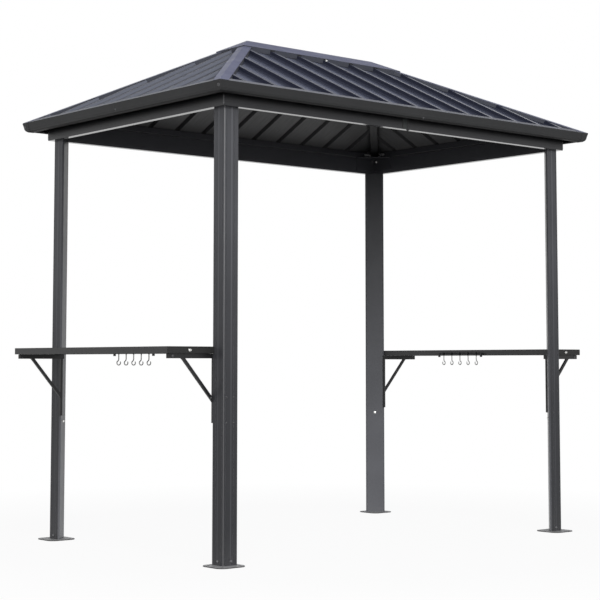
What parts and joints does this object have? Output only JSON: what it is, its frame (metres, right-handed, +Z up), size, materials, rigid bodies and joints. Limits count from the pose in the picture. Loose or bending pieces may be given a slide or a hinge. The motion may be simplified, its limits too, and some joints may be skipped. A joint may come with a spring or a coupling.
{
  "type": "metal gazebo",
  "caption": "Open metal grill gazebo with triangular posts, a hipped ribbed-sheet roof, side shelves on braced brackets and tool hooks under each shelf",
  "frame": {"origin": "on the ground, in the middle of the four posts", "axes": "X along the ridge and the long side, Y across it with the front at -Y, Z up"},
  "size_m": [2.7024, 1.6412, 2.4766],
  "materials": {
    "post_coat": "charcoal powder coat, satin",
    "foot_steel": "grey powder coat, satin",
    "beam_coat": "charcoal powder coat, satin",
    "rafter_coat": "charcoal powder coat, satin",
    "roof_sheet": "dark blue-grey coated steel, semi-gloss",
    "cap_trim": "dark blue-grey coated steel, semi-gloss",
    "fascia_trim": "charcoal powder coat, satin",
    "shelf_coat": "charcoal powder coat, satin",
    "bracket_coat": "black powder coat, satin",
    "hook_steel": "bright steel wire"
  },
  "bodies": {
    "root": {"front_left_post": "post_coat", "front_left_foot": "foot_steel", "front_beam_left": "beam_coat", "front_left_hip_rafter": "rafter_coat", "front_roof_left": "roof_sheet", "front_left_hip_cap": "cap_trim", "front_right_post": "post_coat", "front_right_foot": "foot_steel", "front_beam_right": "beam_coat", "front_right_hip_rafter": "rafter_coat", "front_roof_right": "roof_sheet", "front_right_hip_cap": "cap_trim", "front_fascia": "fascia_trim", "back_left_post": "post_coat", "back_left_foot": "foot_steel", "back_beam_left": "beam_coat", "back_left_hip_rafter": "rafter_coat", "back_roof_left": "roof_sheet", "back_left_hip_cap": "cap_trim", "back_right_post": "post_coat", "back_right_foot": "foot_steel", "back_beam_right": "beam_coat", "back_right_hip_rafter": "rafter_coat", "back_roof_right": "roof_sheet", "back_right_hip_cap": "cap_trim", "back_fascia": "fascia_trim", "left_beam": "beam_coat", "left_roof": "roof_sheet", "left_fascia": "fascia_trim", "left_shelf": "shelf_coat", "left_shelf_brackets": "bracket_coat", "left_hook_rail": "bracket_coat", "left_hooks": "hook_steel", "right_beam": "beam_coat", "right_roof": "roof_sheet", "right_fascia": "fascia_trim", "right_shelf": "shelf_coat", "right_shelf_brackets": "bracket_coat", "right_hook_rail": "bracket_coat", "right_hooks": "hook_steel", "beam_splices": "beam_coat", "corner_brackets": "bracket_coat", "ridge_beam": "rafter_coat", "ridge_cap": "cap_trim", "fascia_corners": "fascia_trim"}
  },
  "joints": []
}
